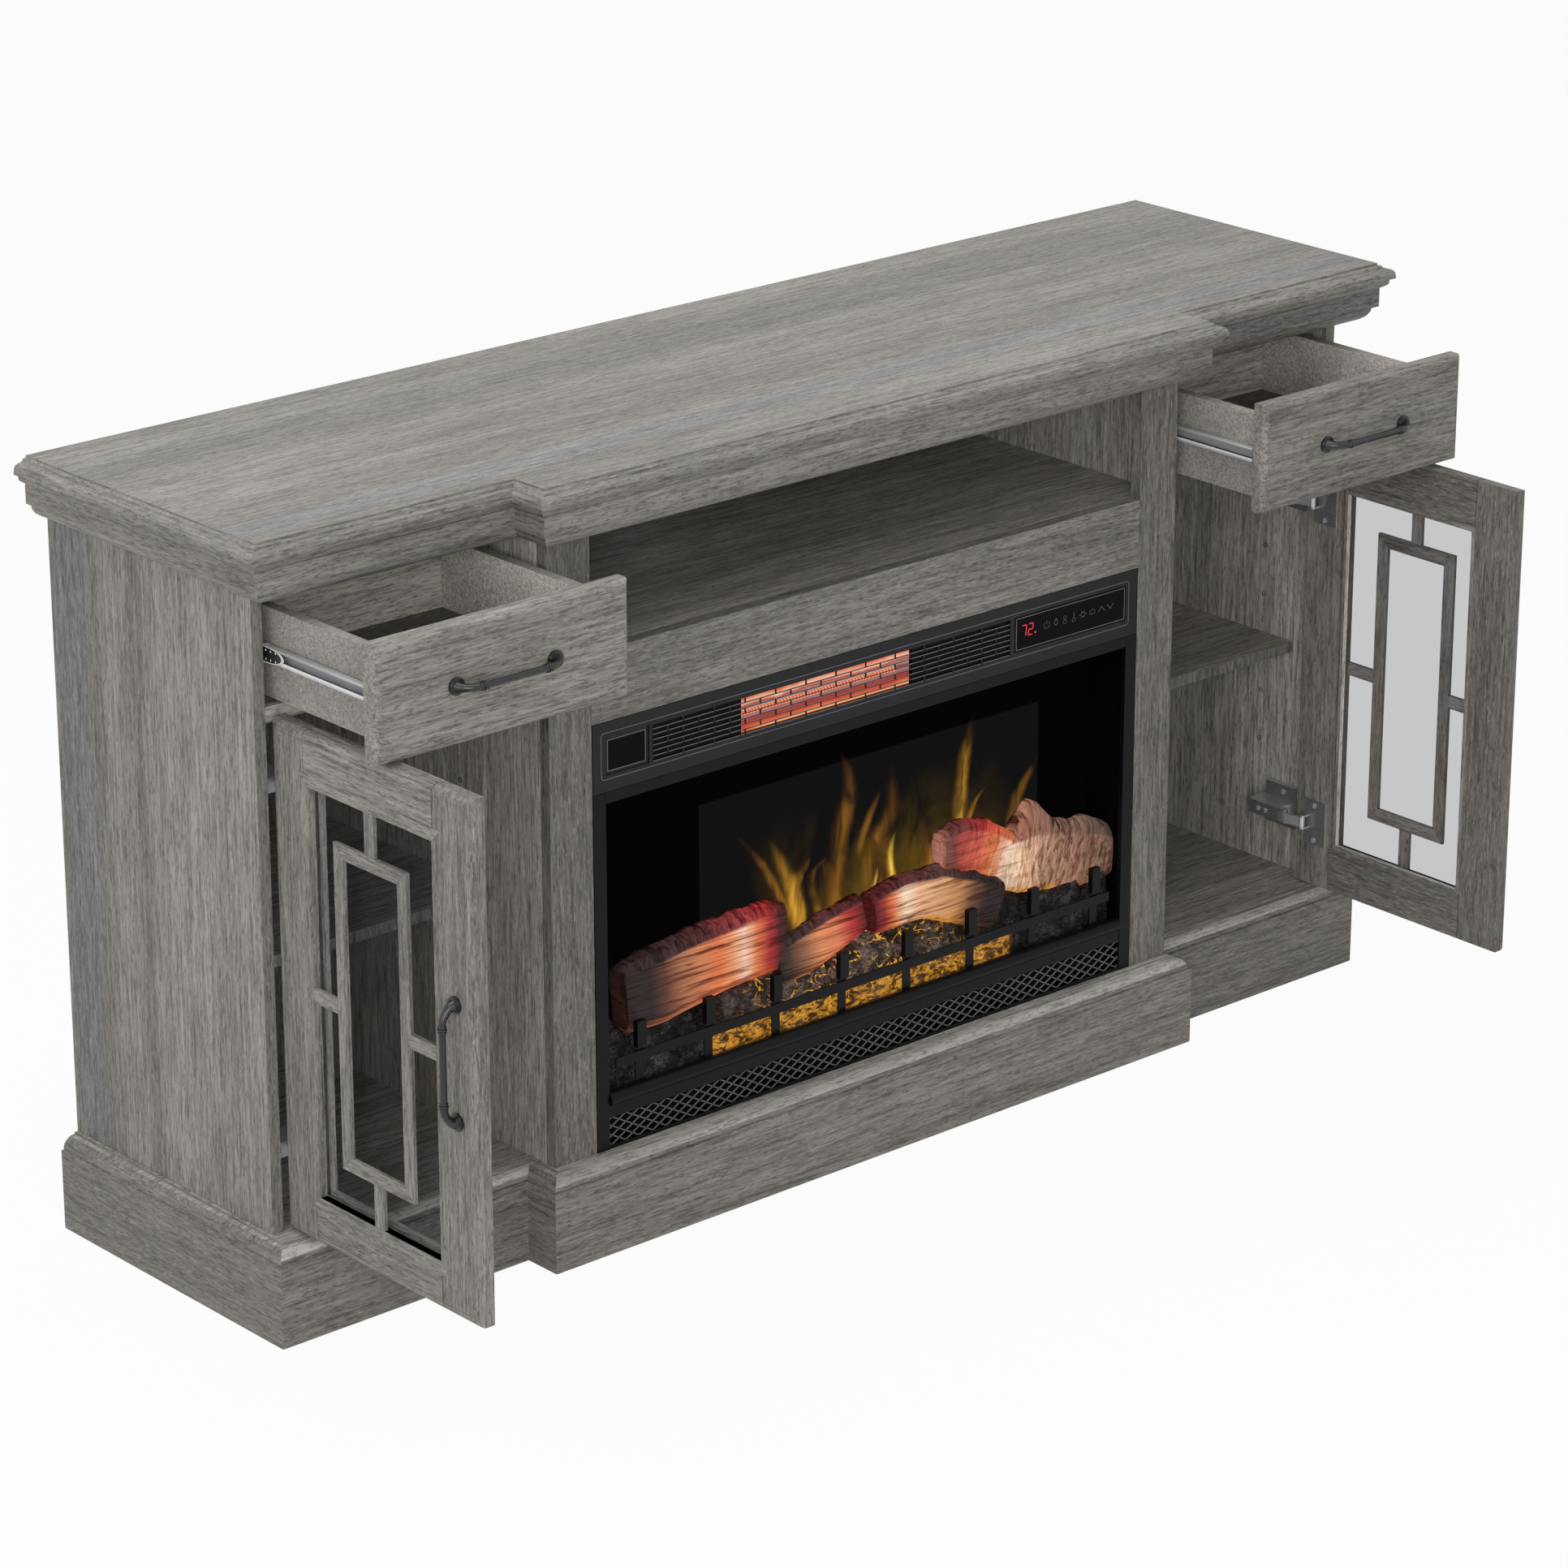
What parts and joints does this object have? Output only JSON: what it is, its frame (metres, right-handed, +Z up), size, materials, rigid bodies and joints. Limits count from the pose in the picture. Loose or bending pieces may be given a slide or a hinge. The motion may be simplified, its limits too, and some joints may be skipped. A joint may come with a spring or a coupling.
{
  "type": "fireplace tv stand",
  "caption": "Wide wooden media cabinet with a stepped front, glazed lattice doors, side drawers, an open shelf and a built-in electric fire with logs.",
  "frame": {"origin": "on the floor under the middle of the body's plan, where the support rail stands", "axes": "+Z up, +X to the right along the front, front towards -Y"},
  "size_m": [1.5248, 0.629, 0.813],
  "materials": {
    "grey_oak": "weathered grey oak laminate, satin",
    "tray_board": "grey oak laminate, satin",
    "dark_bronze": "dark bronze, semi gloss",
    "smoked_glass": "smoked, polished",
    "zinc_steel": "zinc plated",
    "hinge_steel": "nickel plated",
    "black_steel": "black powder coat",
    "black_gloss": "black gloss",
    "heater_steel": "bright reflector",
    "ember_resin": "matt moulded resin",
    "log_resin": "matt painted resin",
    "bright_aluminium": "bright"
  },
  "bodies": {
    "cabinet": {"top_board": "grey_oak", "crown_frame": "grey_oak", "bottom_board": "grey_oak", "plinth_frame": "grey_oak", "plinth_support_rail": "grey_oak", "side_panel_left": "grey_oak", "side_panel_right": "grey_oak", "partition_left": "grey_oak", "partition_right": "grey_oak", "pilaster_left": "grey_oak", "pilaster_right": "grey_oak", "back_panel": "grey_oak", "media_shelf": "grey_oak", "mantel_rail": "grey_oak", "drawer_divider_left": "grey_oak", "drawer_divider_right": "grey_oak", "cupboard_shelf_left": "grey_oak", "cupboard_shelf_right": "grey_oak", "slide_outer_cabinet_left": "zinc_steel", "slide_inner_cabinet_left": "zinc_steel", "hinge_arm_lower_left": "hinge_steel", "hinge_arm_upper_left": "hinge_steel", "slide_outer_cabinet_right": "zinc_steel", "slide_inner_cabinet_right": "zinc_steel", "hinge_arm_lower_right": "hinge_steel", "hinge_arm_upper_right": "hinge_steel", "fire_frame": "black_steel", "control_bar": "black_steel", "display_panel": "black_gloss", "fire_shell": "black_steel", "quartz_heater": "heater_steel", "flame_screen": "black_gloss", "ember_bed": "ember_resin", "log_set": "log_resin", "fire_grate": "black_steel"},
    "drawer_left": {"drawer_front_left": "grey_oak", "drawer_tray_left": "tray_board", "drawer_pull_left": "dark_bronze", "slide_outer_drawer_left": "zinc_steel", "slide_inner_drawer_left": "zinc_steel"},
    "hinge_links_left": {"hinge_link_lower_left": "hinge_steel", "hinge_link_upper_left": "hinge_steel"},
    "door_left": {"door_frame_left": "grey_oak", "door_glass_left": "smoked_glass", "door_pull_left": "dark_bronze", "hinge_cup_lower_left": "hinge_steel", "hinge_cup_upper_left": "hinge_steel"},
    "drawer_right": {"drawer_front_right": "grey_oak", "drawer_tray_right": "tray_board", "drawer_pull_right": "dark_bronze", "slide_outer_drawer_right": "zinc_steel", "slide_inner_drawer_right": "zinc_steel"},
    "hinge_links_right": {"hinge_link_lower_right": "hinge_steel", "hinge_link_upper_right": "hinge_steel"},
    "door_right": {"door_frame_right": "grey_oak", "door_glass_right": "smoked_glass", "door_pull_right": "dark_bronze", "hinge_cup_lower_right": "hinge_steel", "hinge_cup_upper_right": "hinge_steel"},
    "flicker_rod": {"flicker_rod": "bright_aluminium"}
  },
  "joints": [
    {"name": "drawer_slide_left", "type": "slide", "parent": "cabinet", "child": "drawer_left", "axis": [0, -1, 0], "range_m": [-0.168, 0.02]},
    {"name": "drawer_slide_right", "type": "slide", "parent": "cabinet", "child": "drawer_right", "axis": [0, -1, 0], "range_m": [-0.168, 0.02]},
    {"name": "hinge_link_turn_left", "type": "hinge", "parent": "cabinet", "child": "hinge_links_left", "pos_m": [-0.68275, -0.11455, 0.365], "axis": [0, 0, -1], "range_deg": [0, 90]},
    {"name": "door_turn_left", "type": "hinge", "parent": "hinge_links_left", "child": "door_left", "pos_m": [-0.683, -0.1403, 0.365], "axis": [0, 0, -1], "range_deg": [-180, 0]},
    {"name": "hinge_link_turn_right", "type": "hinge", "parent": "cabinet", "child": "hinge_links_right", "pos_m": [0.68275, -0.11455, 0.365], "axis": [0, 0, 1], "range_deg": [0, 90]},
    {"name": "door_turn_right", "type": "hinge", "parent": "hinge_links_right", "child": "door_right", "pos_m": [0.683, -0.1403, 0.365], "axis": [0, 0, 1], "range_deg": [-180, 0]},
    {"name": "flicker_rod_spin", "type": "hinge", "parent": "cabinet", "child": "flicker_rod", "pos_m": [0, -0.0633, 0.215], "axis": [1, 0, 0], "continuous": true}
  ],
  "couplings": [
    {"joint": "hinge_link_turn_left", "follows": "door_turn_left", "ratio": -0.5},
    {"joint": "hinge_link_turn_right", "follows": "door_turn_right", "ratio": -0.5}
  ]
}
